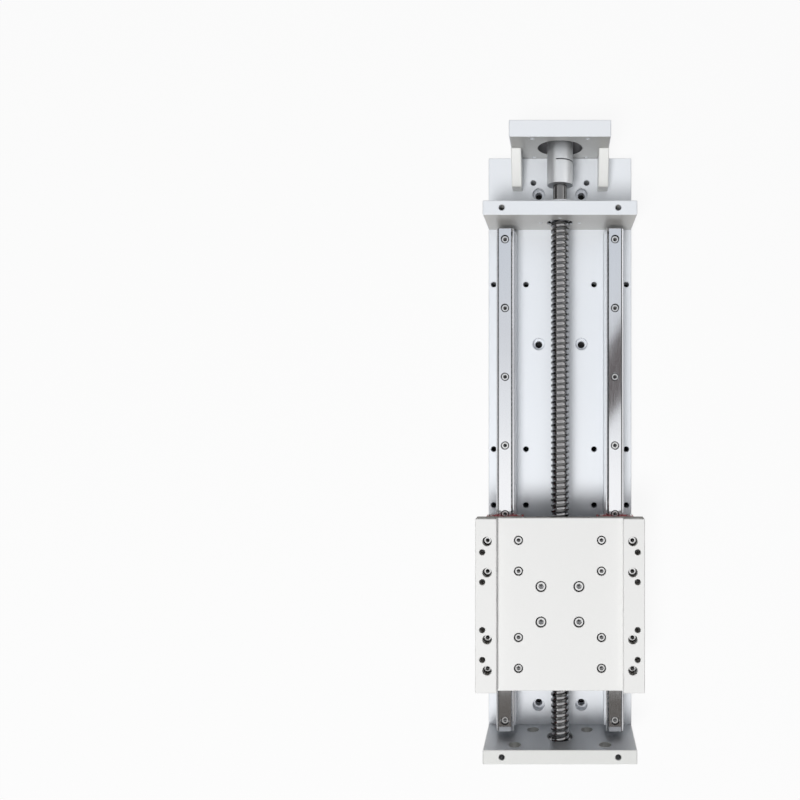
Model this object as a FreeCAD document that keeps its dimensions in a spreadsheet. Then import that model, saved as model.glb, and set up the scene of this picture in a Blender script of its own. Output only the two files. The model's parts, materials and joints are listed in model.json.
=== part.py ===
import FreeCAD, Part
import math
import os
import Sketcher

# Ball screw slide table. X runs across, Y runs along the screw with the motor end at +Y, Z is up.
# The origin is on the underside of the base, midway between the two end plates.

V = FreeCAD.Vector

SIZES = {
    # base plate
    "base_width": 130,
    "base_thickness": 15,
    "motor_bay": 65.5,
    "edge_break": 0.6,
    "rim_break": 0.35,
    "mount_hole_spacing": 39,
    "mount_row_motor": 257.6,
    "mount_row_middle": 121.2,
    "mount_row_idle": 207.4,
    "tapped_row_outer": 120.8,
    "tapped_row_inner": 62,
    "tapped_row_pitch": 150,
    "tapped_row_drive": 25.5,
    "tapped_row_idle": 25.5,
    "sensor_hole_spacing": 48.4,
    "sensor_hole_setback": 22.5,
    # end plates
    "end_plate_thickness": 12,
    "end_plate_height": 54.5,
    "end_plate_opening": 23,
    "bearing_lip": 1.5,
    "end_screw_inner": 68,
    "end_screw_outer": 116,
    "top_hole_spacing": 98,
    "top_hole_depth": 14,
    "idle_hole_low_spacing": 48,
    "idle_hole_low_height": 12,
    "idle_hole_high_spacing": 77.2,
    "idle_hole_high_height": 43.6,
    "axis_height": 26,
    # rails and the risers under them
    "rail_spacing": 96,
    "rail_width": 15,
    "rail_height": 15,
    "rail_crown": 10.5,
    "rail_waist": 11.8,
    "rail_waist_foot": 6.2,
    "rail_waist_low": 7.6,
    "rail_waist_high": 8.6,
    "rail_shoulder_low": 10.2,
    "rail_shoulder_high": 11.3,
    "rail_crown_foot": 13.4,
    "rail_hole_count": 8,
    "rail_hole_pitch": 60,
    "rail_end_margin": 10,
    "rail_end_gap": 5,
    "rail_end_bevel": 0.8,
    "rail_counterbore": 7.5,
    "rail_counterbore_depth": 5.3,
    "raceway": 3,
    "raceway_low": 8.1,
    "raceway_high": 12.7,
    "riser_width": 18,
    "riser_height": 15,
    "riser_screw_pitch": 120,
    # carriages
    "carriage_width": 34,
    "carriage_height": 28,
    "carriage_lift": 4.3,
    "carriage_length": 39.4,
    "carriage_spacing": 82,
    "carriage_bolt_pitch": 26,
    "carriage_bolt_depth": 9,
    "carriage_bevel": 1,
    "carriage_clearance": 0.5,
    "cap_length": 9,
    "cap_inset": 0.6,
    "cap_drop": 1.2,
    "seal_thickness": 2,
    "seal_inset": 1.1,
    "seal_drop": 2.6,
    "seal_screw_spacing": 24,
    "seal_screw_height": 16,
    # table
    "table_width": 142,
    "table_length": 146,
    "table_thickness": 15,
    "table_position": -103,
    "recess_width": 106,
    "recess_depth": 6,
    "table_bolt_across": 130,
    "table_bolt_outer": 90,
    "table_bolt_inner": 40,
    "table_bolt_depth": 12,
    "nut_bolt_across": 32,
    "nut_bolt_along": 30,
    # ball screw, nut and nut bracket
    "screw_diameter": 16,
    "drive_journal": 12,
    "coupling_journal": 10,
    "idle_journal": 10,
    "journal_bevel": 0.5,
    "nut_diameter": 28,
    "nut_length": 48,
    "nut_flange": 48,
    "nut_flange_flats": 40,
    "nut_flange_thickness": 10,
    "nut_bolt_circle": 38,
    "nut_running_gap": 0.3,
    "wiper_diameter": 21,
    "wiper_thickness": 3,
    "wiper_gap": 0.1,
    "bracket_width": 52,
    "bracket_length": 48,
    "bracket_drop": 17,
    "bracket_bevel": 4,
    "flange_relief": 0.6,
    # bearings and what holds them
    "fit_gap": 0.05,
    "drive_bearing_outer": 28,
    "drive_bearing_width": 12,
    "drive_ball_count": 8,
    "idle_bearing_outer": 26,
    "idle_bearing_width": 8,
    "idle_ball_count": 7,
    "ring_wall": 2.4,
    "cover_diameter": 40,
    "cover_thickness": 3.2,
    "cover_opening": 22,
    "cover_bolt_circle": 34,
    "lock_nut_diameter": 20,
    "lock_nut_thickness": 5,
    "lock_nut_slot": 3,
    "circlip_thickness": 1,
    "circlip_depth": 1,
    "circlip_height": 2.4,
    "circlip_arc": 325,
    # motor plate, gussets and coupling
    "motor_plate_width": 86,
    "motor_plate_thickness": 14,
    "motor_plate_height": 55,
    "motor_plate_lift": 1,
    "pilot_diameter": 39,
    "motor_bolt_spacing": 47.14,
    "plate_screw_outer": 60,
    "plate_screw_inner": 22,
    "gusset_width": 9,
    "gusset_length": 30.4,
    "gusset_tall": 28,
    "gusset_low": 14,
    "gusset_screw_height": 18,
    "gusset_screw_first": 8,
    "gusset_screw_second": 22,
    "coupling_diameter": 22.5,
    "coupling_length": 40,
    "coupling_reach": 32.7,
    "coupling_grip": 18.2,
    "motor_shaft": 8,
    "coupling_slit": 1,
    "coupling_slit_pitch": 5.6,
    "coupling_web": 3.5,
    "grip_screw_setback": 5,
    "grip_key": 2,
    # screws: thread, head across, head height, key across flats, length
    "m3_thread": 3,
    "m3_head": 5.5,
    "m3_head_height": 1.7,
    "m3_key": 2,
    "m4_thread": 4,
    "m4_head": 7,
    "m4_head_height": 4,
    "m4_key": 3,
    "m5_thread": 5,
    "m5_core": 4.2,
    "m5_head": 8.5,
    "m5_head_height": 5,
    "m5_key": 4,
    "m6_thread": 6,
    "m6_core": 5,
    "m6_head": 10,
    "m6_head_height": 6,
    "m6_key": 5,
    "passing_gap": 0.5,
    "thread_gap": 0.2,
    "counterbore_gap": 0.7,
    "counterbore_sink": 0.4,
    "rail_screw_length": 16,
    "riser_screw_length": 20,
    "carriage_screw_length": 12,
    "nut_screw_length": 14,
    "flange_screw_length": 16,
    "end_screw_length": 25,
    "plate_screw_length": 20,
    "gusset_base_screw_length": 20,
    "gusset_plate_screw_length": 16,
    "cover_screw_length": 10,
    "seal_screw_length": 5,
    "hole_spare": 1.5,
}

doc = FreeCAD.newDocument("ball_screw_slide_table")
sheet = doc.addObject("Spreadsheet::Sheet", "Sizes")
for row, (alias, number) in enumerate(SIZES.items(), start=1):
    sheet.set(f"A{row}", alias)
    sheet.set(f"B{row}", str(number))
    sheet.setAlias(f"B{row}", alias)
doc.recompute()

sub_parts = []


class Size:
    """A length with its present value and the sheet formula that it comes from."""

    def __init__(self, value, formula):
        self.value = value
        self.formula = formula

    def joined(self, sign, other, value):
        return Size(value, f"({self.formula} {sign} {other.formula})")

    def __add__(self, other):
        other = as_size(other)
        return self.joined("+", other, self.value + other.value)

    def __sub__(self, other):
        other = as_size(other)
        return self.joined("-", other, self.value - other.value)

    def __mul__(self, other):
        other = as_size(other)
        return self.joined("*", other, self.value * other.value)

    def __truediv__(self, other):
        other = as_size(other)
        return self.joined("/", other, self.value / other.value)

    def __neg__(self):
        return as_size(0) - self


def as_size(number):
    return number if isinstance(number, Size) else Size(number, str(number))


def size(alias):
    return Size(float(sheet.get(alias)), f"Sizes.{alias}")


def limited(length, wall):
    """A length held to half of a wall, or of the overlap where the wall is cut away."""
    return Size(min(length.value, abs(wall.value) / 2), f"min({length.formula}; abs({wall.formula}) / 2)")


def count(alias):
    return int(sheet.get(alias))


def bind(item, prop, length):
    item.setExpression(prop, as_size(length).formula)


# Sketches and features

def new_body(label):
    body = doc.addObject("PartDesign::Body", label)
    body.Label = label
    sub_parts.append(body)
    return body


def new_sketch(body, name, plane, offset, rise=0):
    """A sketch on one of the body's own planes, moved along its normal and up its own second axis."""
    sketch = body.newObject("Sketcher::SketchObject", name)
    support = [item for item in body.Origin.OriginFeatures if item.Role == plane]
    sketch.AttachmentSupport = [(support[0], "")]
    sketch.MapMode = "FlatFace"
    bind(sketch, "AttachmentOffset.Base.z", offset)
    bind(sketch, "AttachmentOffset.Base.y", rise)
    return sketch


def level_sketch(body, name, height):
    return new_sketch(body, name, "XY_Plane", height)


def cross_sketch(body, name, along):
    """A sketch across the screw at one place along Y. Its normal points to -Y."""
    return new_sketch(body, name, "XZ_Plane", -as_size(along))


def axis_sketch(body, name):
    """A sketch in the plane X = 0 whose own first axis is the screw's axis."""
    return new_sketch(body, name, "YZ_Plane", 0, axis_z)


def pin(sketch, geometry, point, across, up):
    for kind, axis, distance in (("DistanceX", -2, across), ("DistanceY", -1, up)):
        distance = as_size(distance)
        if distance.value == 0:
            sketch.addConstraint(Sketcher.Constraint("PointOnObject", geometry, point, axis))
            continue
        place = Sketcher.Constraint(kind, -1, 1, geometry, point, distance.value)
        index = sketch.addConstraint(place)
        bind(sketch, f"Constraints[{index}]", distance)


def draw_polygon(sketch, corners):
    corners = [(as_size(across), as_size(up)) for across, up in corners]
    points = [V(across.value, up.value, 0) for across, up in corners]
    first = sketch.GeometryCount
    for here, there in zip(points, points[1:] + points[:1]):
        sketch.addGeometry(Part.LineSegment(here, there))
    for i, corner in enumerate(corners):
        before = first + (i - 1) % len(corners)
        sketch.addConstraint(Sketcher.Constraint("Coincident", before, 2, first + i, 1))
        pin(sketch, first + i, 1, *corner)


def draw_box(sketch, left, right, low, high):
    draw_polygon(sketch, [(left, low), (right, low), (right, high), (left, high)])


def draw_circles(sketch, places, diameter):
    for across, up in places:
        middle = V(as_size(across).value, as_size(up).value, 0)
        index = sketch.addGeometry(Part.Circle(middle, V(0, 0, 1), diameter.value / 2))
        pin(sketch, index, 3, across, up)
        wide = sketch.addConstraint(Sketcher.Constraint("Diameter", index, diameter.value))
        bind(sketch, f"Constraints[{wide}]", diameter)


def pad(body, name, sketch, length):
    feature = body.newObject("PartDesign::Pad", name)
    feature.Profile = sketch
    bind(feature, "Length", length)
    doc.recompute()
    return feature


def revolve(body, name, sketch, angle=360):
    feature = body.newObject("PartDesign::Revolution", name)
    feature.Profile = sketch
    feature.ReferenceAxis = (sketch, ["H_Axis"])
    bind(feature, "Angle", angle)
    doc.recompute()
    return feature


def must_shrink(body, feature, before):
    doc.recompute()
    if feature.Shape.isNull() or feature.Shape.Volume > before - 1e-6:
        raise RuntimeError(f"{body.Label}: {feature.Name} cuts nothing")
    return feature


def pocket(body, name, sketch, depth=None, flipped=False):
    """A cut against the sketch's normal, or along it when flipped; with no depth it goes right through."""
    before = body.Shape.Volume
    feature = body.newObject("PartDesign::Pocket", name)
    feature.Profile = sketch
    feature.Reversed = flipped
    if depth is None:
        feature.Type = "ThroughAll"
    else:
        bind(feature, "Length", depth)
    return must_shrink(body, feature, before)


def groove(body, name, sketch):
    before = body.Shape.Volume
    feature = body.newObject("PartDesign::Groove", name)
    feature.Profile = sketch
    feature.ReferenceAxis = (sketch, ["H_Axis"])
    feature.Angle = 360
    return must_shrink(body, feature, before)


def break_edges(body, feature, length, keep=None):
    """Chamfers the straight edges of a feature, apart from those that keep picks out."""
    names = []
    for number, edge in enumerate(feature.Shape.Edges, start=1):
        if keep is None or not keep(edge.CenterOfMass):
            names.append(f"Edge{number}")
    broken = body.newObject("PartDesign::Chamfer", "broken_edges")
    broken.Base = (feature, names)
    bind(broken, "Size", length)
    doc.recompute()
    return broken


def break_rims(body, height, length):
    """Chamfers the mouths of the holes in a level face."""
    names = []
    carrier = body.Tip
    for number, edge in enumerate(carrier.Shape.Edges, start=1):
        round_mouth = isinstance(edge.Curve, Part.Circle) and abs(abs(edge.Curve.Axis.z) - 1) < 1e-6
        if round_mouth and abs(edge.BoundBox.ZMax - height.value) < 1e-6:
            names.append(f"Edge{number}")
    broken = body.newObject("PartDesign::Chamfer", "broken_rims")
    broken.Base = (carrier, names)
    bind(broken, "Size", length)
    doc.recompute()


def level_holes(body, name, height, places, diameter, depth=None, flipped=False):
    sketch = level_sketch(body, f"{name}_places", height)
    draw_circles(sketch, places, diameter)
    return pocket(body, name, sketch, depth, flipped)


def cross_holes(body, name, along, places, diameter, depth=None, flipped=False):
    sketch = cross_sketch(body, f"{name}_places", along)
    draw_circles(sketch, places, diameter)
    return pocket(body, name, sketch, depth, flipped)


def four(across, up, middle_across=0, middle_up=0):
    """The corners of a rectangle of places, from its two spacings."""
    middle_across = as_size(middle_across)
    middle_up = as_size(middle_up)
    return [
        (middle_across + across * i / 2, middle_up + up * j / 2)
        for i in (-1, 1)
        for j in (-1, 1)
    ]


def pair(across, up):
    return [(across * i / 2, up) for i in (-1, 1)]


def passing(thread):
    return size(f"{thread}_thread") + size("passing_gap")


def tapped(thread):
    return size(f"{thread}_thread") + size("thread_gap")


def counterbore(thread):
    return size(f"{thread}_head") + size("counterbore_gap")


def counterbore_depth(thread):
    return size(f"{thread}_head_height") + size("counterbore_sink")


# Places that several pieces share

base_top = size("base_thickness")
rail_length = size("rail_hole_pitch") * (size("rail_hole_count") - 1) + size("rail_end_margin") * 2
plate_face = rail_length / 2 + size("rail_end_gap")
plate_back = plate_face + size("end_plate_thickness")
plate_middle = plate_face + size("end_plate_thickness") / 2
plate_top = base_top + size("end_plate_height")
motor_end = plate_face + size("motor_bay")
motor_face = motor_end + size("motor_plate_thickness")
idle_end = -plate_back
axis_z = base_top + size("axis_height")
rail_foot = base_top + size("riser_height")
table_foot = rail_foot + size("carriage_height")
table_top = table_foot + size("table_thickness")
recess_floor = table_top - size("recess_depth")
table_y = size("table_position")
rail_x = size("rail_spacing") / 2
bearing_seat = plate_face + size("bearing_lip")
drive_bearing_end = bearing_seat + size("drive_bearing_width")
idle_bearing_end = bearing_seat + size("idle_bearing_width")
coupling_start = motor_end - size("coupling_reach")
coupling_end = coupling_start + size("coupling_length")
bracket_front = table_y + size("bracket_length") / 2
flange_front = bracket_front + size("nut_flange_thickness")
gusset_x = (size("motor_plate_width") - size("gusset_width")) / 2
carriage_seat = table_foot + size("table_thickness") - size("recess_depth") - counterbore_depth("m4")
nut_seat = recess_floor - counterbore_depth("m5")

rail_hole_rows = [
    -(rail_length / 2) + size("rail_end_margin") + size("rail_hole_pitch") * i
    for i in range(count("rail_hole_count"))
]
riser_screw_rows = [size("riser_screw_pitch") * i / 2 for i in (-3, -1, 1, 3)]
end_screw_across = [
    size(alias) * side / 2 for alias in ("end_screw_inner", "end_screw_outer") for side in (-1, 1)
]
gusset_screw_rows = [motor_end - size(f"gusset_screw_{word}") for word in ("first", "second")]
carriage_rows = {
    "drive": table_y + size("carriage_spacing") / 2,
    "idle": table_y - size("carriage_spacing") / 2,
}
sides = {"left": -1, "right": 1}


# Base plate

def make_base():
    body = new_body("base_plate")
    outline = level_sketch(body, "base_outline", 0)
    half = size("base_width") / 2
    draw_box(outline, -half, half, idle_end, motor_end)
    slab = pad(body, "base_slab", outline, base_top)
    break_edges(body, slab, size("edge_break"))

    rows = [size("mount_row_motor"), size("mount_row_middle")]
    rows += [-size("mount_row_middle"), -size("mount_row_idle")]
    mounts = [place for row_y in rows for place in pair(size("mount_hole_spacing"), row_y)]
    level_holes(body, "mount_counterbores", base_top, mounts, counterbore("m6"), counterbore_depth("m6"))
    level_holes(body, "mount_holes", base_top, mounts, passing("m6"))

    pitch = size("tapped_row_pitch")
    rows = [size("tapped_row_drive"), size("tapped_row_drive") + pitch]
    rows += [-size("tapped_row_idle"), -size("tapped_row_idle") - pitch]
    spares = [
        place
        for row_y in rows
        for alias in ("tapped_row_outer", "tapped_row_inner")
        for place in pair(size(alias), row_y)
    ]
    spares += pair(size("sensor_hole_spacing"), motor_end - size("sensor_hole_setback"))
    level_holes(body, "tapped_holes", base_top, spares, size("m6_core"))
    break_rims(body, base_top, size("rim_break"))

    risers = [(rail_x * side, row_y) for side in sides.values() for row_y in riser_screw_rows]
    gussets = [(gusset_x * side, row_y) for side in sides.values() for row_y in gusset_screw_rows]
    small = risers + gussets
    large = [(across, plate_middle * side) for across in end_screw_across for side in (-1, 1)]
    for thread, places in (("m5", small), ("m6", large)):
        depth = counterbore_depth(thread)
        level_holes(body, f"{thread}_under_counterbores", 0, places, counterbore(thread), depth, True)
        level_holes(body, f"{thread}_under_holes", 0, places, passing(thread), None, True)

    into_base = size("plate_screw_length") - plate_screw_grip + size("hole_spare")
    cross_holes(body, "plate_screw_holes", motor_end, plate_screw_places(), tapped("m5"), into_base, True)


plate_screw_grip = size("motor_plate_thickness") - counterbore_depth("m5")


def plate_screw_places():
    spreads = (size("plate_screw_outer"), size("plate_screw_inner"))
    return [place for spread in spreads for place in pair(spread, base_top / 2)]


# End plates that carry the screw

def make_end_plate(label, side, bearing_outer):
    """side is 1 for the drive end and -1 for the idle end."""
    body = new_body(label)
    near_y = plate_back if side == 1 else -plate_face
    outline = cross_sketch(body, "plate_outline", near_y)
    half = size("base_width") / 2
    draw_box(outline, -half, half, base_top, plate_top)
    slab = pad(body, "plate_slab", outline, size("end_plate_thickness"))
    break_edges(body, slab, size("edge_break"))

    middle = [(0, axis_z)]
    inner = plate_face * side
    outer = plate_back * side
    cross_holes(body, "opening", inner, middle, size("end_plate_opening"), None, side == -1)
    pocket_depth = size("end_plate_thickness") - size("bearing_lip")
    seat = bearing_outer + size("fit_gap") * 2
    cross_holes(body, "bearing_seat", outer, middle, seat, pocket_depth, side == 1)

    tops = pair(size("top_hole_spacing"), plate_middle * side)
    level_holes(body, "top_holes", plate_top, tops, size("m6_core"), size("top_hole_depth"))
    break_rims(body, plate_top, size("rim_break"))

    feet = [(across, plate_middle * side) for across in end_screw_across]
    into_plate = size("end_screw_length") - base_top + counterbore_depth("m6") + size("hole_spare")
    level_holes(body, "foot_holes", base_top, feet, tapped("m6"), into_plate, True)
    return body


def make_drive_plate():
    body = make_end_plate("drive_end_plate", 1, size("drive_bearing_outer"))
    cross_holes(body, "cover_screw_holes", plate_back, cover_screw_places(), tapped("m3"), None, True)


def make_idle_plate():
    body = make_end_plate("idle_end_plate", -1, size("idle_bearing_outer"))
    places = pair(size("idle_hole_low_spacing"), base_top + size("idle_hole_low_height"))
    places += pair(size("idle_hole_high_spacing"), base_top + size("idle_hole_high_height"))
    inner = -plate_face
    cross_holes(body, "face_counterbores", inner, places, counterbore("m6"), counterbore_depth("m6"), True)
    cross_holes(body, "face_holes", inner, places, passing("m6"), None, True)
    clip_groove = axis_sketch(body, "clip_groove_outline")
    near = -idle_bearing_end
    far = near - size("circlip_thickness") - size("fit_gap") * 2
    high = size("idle_bearing_outer") / 2 + size("circlip_depth") + size("fit_gap")
    draw_box(clip_groove, far, near, size("idle_bearing_outer") / 2 - size("circlip_depth"), high)
    groove(body, "clip_groove", clip_groove)


def cover_screw_places():
    reach = size("cover_bolt_circle") / 2
    return [(reach, axis_z), (-reach, axis_z), (0, axis_z + reach), (0, axis_z - reach)]


# Rails: a rolled profile with a raceway above and below each shoulder

def rail_flank(side, middle, foot, gap=0):
    """One flank of the rail from its foot to its crown, moved outwards by a running gap."""
    gap = as_size(gap)
    half = size("rail_width") / 2 + gap
    waist = size("rail_waist") / 2 + gap
    crown = size("rail_crown") / 2 + gap
    reaches = [
        (half, size("rail_waist_foot")),
        (waist, size("rail_waist_low")),
        (waist, size("rail_waist_high")),
        (half, size("rail_shoulder_low")),
        (half, size("rail_shoulder_high")),
        (crown, size("rail_crown_foot")),
    ]
    return [(middle + reach * side, foot + up) for reach, up in reaches]


def raceway_places(middle, foot):
    """Centres of the four ball rows, two on each flank."""
    half = size("rail_width") / 2
    heights = (size("raceway_low"), size("raceway_high"))
    return [(middle + half * side, foot + height) for side in (-1, 1) for height in heights]


def make_rail(word, side):
    middle = rail_x * side
    riser = new_body(f"rail_riser_{word}")
    outline = cross_sketch(riser, "riser_outline", rail_length / 2)
    half = size("riser_width") / 2
    draw_box(outline, middle - half, middle + half, base_top, rail_foot)
    bar = pad(riser, "riser_bar", outline, rail_length)
    break_edges(riser, bar, size("edge_break"))
    holes = [(middle, row_y) for row_y in rail_hole_rows]
    into_riser = size("rail_screw_length") - rail_screw_grip + size("hole_spare")
    level_holes(riser, "rail_screw_holes", rail_foot, holes, tapped("m4"), into_riser)
    feet = [(middle, row_y) for row_y in riser_screw_rows]
    into_foot = size("riser_screw_length") - base_top + counterbore_depth("m5") + size("hole_spare")
    level_holes(riser, "riser_screw_holes", base_top, feet, tapped("m5"), into_foot, True)

    rail = new_body(f"rail_{word}")
    profile = cross_sketch(rail, "rail_profile", rail_length / 2)
    half = size("rail_width") / 2
    crown = size("rail_crown") / 2
    top = rail_foot + size("rail_height")
    right = [(middle + half, rail_foot)] + rail_flank(1, middle, rail_foot) + [(middle + crown, top)]
    left = [(middle - half, rail_foot)] + rail_flank(-1, middle, rail_foot) + [(middle - crown, top)]
    draw_polygon(profile, right + left[::-1])
    bar = pad(rail, "rail_bar", profile, rail_length)

    def beyond_crown(point):
        at_end = abs(abs(point.y) - rail_length.value / 2) < 0.01
        return not at_end or point.z < (rail_foot + size("rail_crown_foot")).value

    break_edges(rail, bar, size("rail_end_bevel"), beyond_crown)
    rows = cross_sketch(rail, "raceway_places", rail_length / 2)
    draw_circles(rows, raceway_places(middle, rail_foot), size("raceway"))
    pocket(rail, "raceways", rows, rail_length, True)
    deep = size("rail_counterbore_depth")
    level_holes(rail, "rail_counterbores", top, holes, size("rail_counterbore"), deep)
    level_holes(rail, "rail_holes", top, holes, passing("m4"))


rail_screw_grip = size("rail_height") - size("rail_counterbore_depth")


# Carriages: a steel body that wraps the rail, a cap and a red seal at each end

def carriage_outline(sketch, middle, inset, drop, gap):
    """The carriage's section round its rail; inset and drop make the smaller section of a cap or a seal."""
    half = size("carriage_width") / 2 - inset
    top = table_foot - drop
    foot = rail_foot + size("carriage_lift") + inset
    bevel = size("carriage_bevel")
    crown = size("rail_crown") / 2 + gap
    ceiling = rail_foot + size("rail_height") + gap
    outer = [(middle + half, foot), (middle + half, top - bevel), (middle + half - bevel, top)]
    outer += [(middle - half + bevel, top), (middle - half, top - bevel), (middle - half, foot)]
    reach = size("rail_width") / 2 + gap
    left = [(middle - reach, foot)] + rail_flank(-1, middle, rail_foot, gap) + [(middle - crown, ceiling)]
    right = [(middle + reach, foot)] + rail_flank(1, middle, rail_foot, gap) + [(middle + crown, ceiling)]
    draw_polygon(sketch, outer + left + right[::-1])


def make_carriage(place, middle_y, word, side):
    middle = rail_x * side
    name = f"{place}_{word}"
    gap = size("carriage_clearance")
    front = middle_y + size("carriage_length") / 2
    body = new_body(f"carriage_{name}")
    section = cross_sketch(body, "carriage_section", front)
    carriage_outline(section, middle, as_size(0), as_size(0), gap)
    pad(body, "carriage_block", section, size("carriage_length"))
    rows = cross_sketch(body, "raceway_places", front)
    draw_circles(rows, raceway_places(middle, rail_foot), size("raceway"))
    pocket(body, "raceways", rows, size("carriage_length"), True)
    pitch = size("carriage_bolt_pitch")
    holes = four(pitch, pitch, middle, middle_y)
    level_holes(body, "bolt_holes", table_foot, holes, tapped("m4"), size("carriage_bolt_depth"))

    reach = size("carriage_length") / 2
    pieces = (
        ("end_caps", reach, size("cap_length"), size("cap_inset"), size("cap_drop")),
        (
            "end_seals",
            reach + size("cap_length"),
            size("seal_thickness"),
            size("seal_inset"),
            size("seal_drop"),
        ),
    )
    for label, start, thick, inset, drop in pieces:
        make_end_pair(f"{label}_{name}", middle, middle_y, start, thick, inset, drop, label == "end_seals")


def make_end_pair(label, middle, middle_y, start, thick, inset, drop, drilled):
    """The two like pieces at a carriage's ends, one node of two solids."""
    halves = []
    for front in (middle_y + start + thick, middle_y - start):
        half = doc.addObject("PartDesign::Body", f"{label}_half")
        section = cross_sketch(half, "end_section", front)
        carriage_outline(section, middle, inset, drop, size("carriage_clearance"))
        pad(half, "end_block", section, thick)
        depth = thick if drilled else size("seal_screw_length") - size("seal_thickness") + size("hole_spare")
        outward = front.value > middle_y.value
        # a seal is drilled right through, and a cap only as deep as the screw goes
        face = front if outward else front - thick
        cross_holes(half, "screw_holes", face, seal_screw_places(middle), tapped("m3"), depth, outward)
        halves.append(half)
    both = doc.addObject("Part::Compound", label)
    both.Label = label
    both.Links = halves
    sub_parts.append(both)
    doc.recompute()


def seal_screw_places(middle):
    spread = size("seal_screw_spacing") / 2
    height = rail_foot + size("seal_screw_height")
    return [(middle + spread * side, height) for side in (-1, 1)]


# Table plate with its sunk middle and two raised wings

def make_table():
    body = new_body("table_plate")
    front = table_y + size("table_length") / 2
    section = cross_sketch(body, "table_section", front)
    half = size("table_width") / 2
    wing = size("recess_width") / 2
    right = [(half, table_foot), (half, table_top), (wing, table_top), (wing, recess_floor)]
    left = [(-across, up) for across, up in right]
    draw_polygon(section, right + left[::-1])
    slab = pad(body, "table_slab", section, size("table_length"))

    def sunk_corner(point):
        near_wall = abs(abs(point.x) - wing.value) < 0.01
        return near_wall and abs(point.z - recess_floor.value) < 0.01

    break_edges(body, slab, size("edge_break"), sunk_corner)

    pitch = size("carriage_bolt_pitch")
    middles = [(rail_x * side, row_y) for side in sides.values() for row_y in carriage_rows.values()]
    holes = [place for middle, row_y in middles for place in four(pitch, pitch, middle, row_y)]
    deep = table_top - carriage_seat
    level_holes(body, "carriage_counterbores", table_top, holes, counterbore("m4"), deep)
    level_holes(body, "carriage_holes", table_top, holes, passing("m4"))

    tapped_places = []
    for alias in ("table_bolt_outer", "table_bolt_inner"):
        tapped_places += four(size("table_bolt_across"), size(alias), 0, table_y)
    level_holes(body, "table_bolt_holes", table_top, tapped_places, size("m6_core"), size("table_bolt_depth"))

    nut_places = four(size("nut_bolt_across"), size("nut_bolt_along"), 0, table_y)
    level_holes(body, "nut_counterbores", table_top, nut_places, counterbore("m5"), table_top - nut_seat)
    level_holes(body, "nut_holes", table_top, nut_places, passing("m5"))
    outermost = rail_x + pitch / 2 + counterbore("m4") / 2
    wall = half - size("edge_break") - outermost
    break_rims(body, table_top, limited(size("rim_break"), wall))
    break_rims(body, recess_floor, size("rim_break"))

    room = size("flange_relief")
    relief = level_sketch(body, "flange_relief_outline", table_foot)
    reach = size("nut_flange") / 2 + room
    draw_box(relief, -reach, reach, bracket_front - room, flange_front + flange_head + room)
    rise = axis_z + size("nut_flange_flats") / 2 + room - table_foot
    pocket(body, "flange_relief", relief, rise, True)


flange_head = size("m5_head_height")


# Ball nut, its bracket and its wipers

def flange_screw_places():
    """Six places on the flange, three on each side, clear of its two flats."""
    reach = size("nut_bolt_circle") / 2
    slant = reach * math.sqrt(0.5)
    places = [(reach * side, axis_z) for side in (-1, 1)]
    return places + [(slant * i, axis_z + slant * j) for i in (-1, 1) for j in (-1, 1)]


def make_nut():
    body = new_body("ball_nut")
    profile = axis_sketch(body, "nut_profile")
    back = flange_front - size("nut_length")
    bore = size("screw_diameter") / 2 + size("nut_running_gap")
    wiper = size("wiper_diameter") / 2
    thick = size("wiper_thickness")
    sleeve = size("nut_diameter") / 2
    flange = size("nut_flange") / 2
    draw_polygon(
        profile,
        [
            (back, wiper),
            (back, sleeve),
            (bracket_front, sleeve),
            (bracket_front, flange),
            (flange_front, flange),
            (flange_front, wiper),
            (flange_front - thick, wiper),
            (flange_front - thick, bore),
            (back + thick, bore),
            (back + thick, wiper),
        ],
    )
    revolve(body, "nut_turned", profile)
    flats = cross_sketch(body, "flat_outlines", flange_front)
    for side in (-1, 1):
        near = axis_z + size("nut_flange_flats") * side / 2
        far = axis_z + size("nut_flange") * side
        low, high = (near, far) if side == 1 else (far, near)
        draw_box(flats, -size("nut_flange"), size("nut_flange"), low, high)
    pocket(body, "flange_flats", flats, size("nut_flange_thickness"), True)
    cross_holes(body, "flange_holes", flange_front, flange_screw_places(), passing("m5"), None, True)

    bracket = new_body("nut_bracket")
    outline = cross_sketch(bracket, "bracket_outline", bracket_front)
    half = size("bracket_width") / 2
    foot = axis_z - size("bracket_drop")
    bevel = size("bracket_bevel")
    right = [(half - bevel, foot), (half, foot + bevel), (half, table_foot)]
    left = [(-across, up) for across, up in right]
    draw_polygon(outline, right + left[::-1])
    pad(bracket, "bracket_block", outline, size("bracket_length"))
    seat = size("nut_diameter") + size("fit_gap") * 2
    cross_holes(bracket, "nut_seat", bracket_front, [(0, axis_z)], seat, None, True)
    into = size("flange_screw_length") - size("nut_flange_thickness") + size("hole_spare")
    places = flange_screw_places()
    cross_holes(bracket, "flange_screw_holes", bracket_front, places, tapped("m5"), into, True)
    tops = four(size("nut_bolt_across"), size("nut_bolt_along"), 0, table_y)
    into = size("nut_screw_length") - nut_seat + table_foot + size("hole_spare")
    level_holes(bracket, "nut_screw_holes", table_foot, tops, tapped("m5"), into)

    for label, low in (("nut_wiper_front", flange_front - thick), ("nut_wiper_back", back)):
        ring = new_body(label)
        section = axis_sketch(ring, "wiper_section")
        inner = size("screw_diameter") / 2 + size("wiper_gap")
        draw_box(section, low, low + thick, inner, wiper - size("fit_gap"))
        revolve(ring, "wiper_ring", section)


# Ball screw: the rolled length as its outer envelope, with its two turned ends

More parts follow.
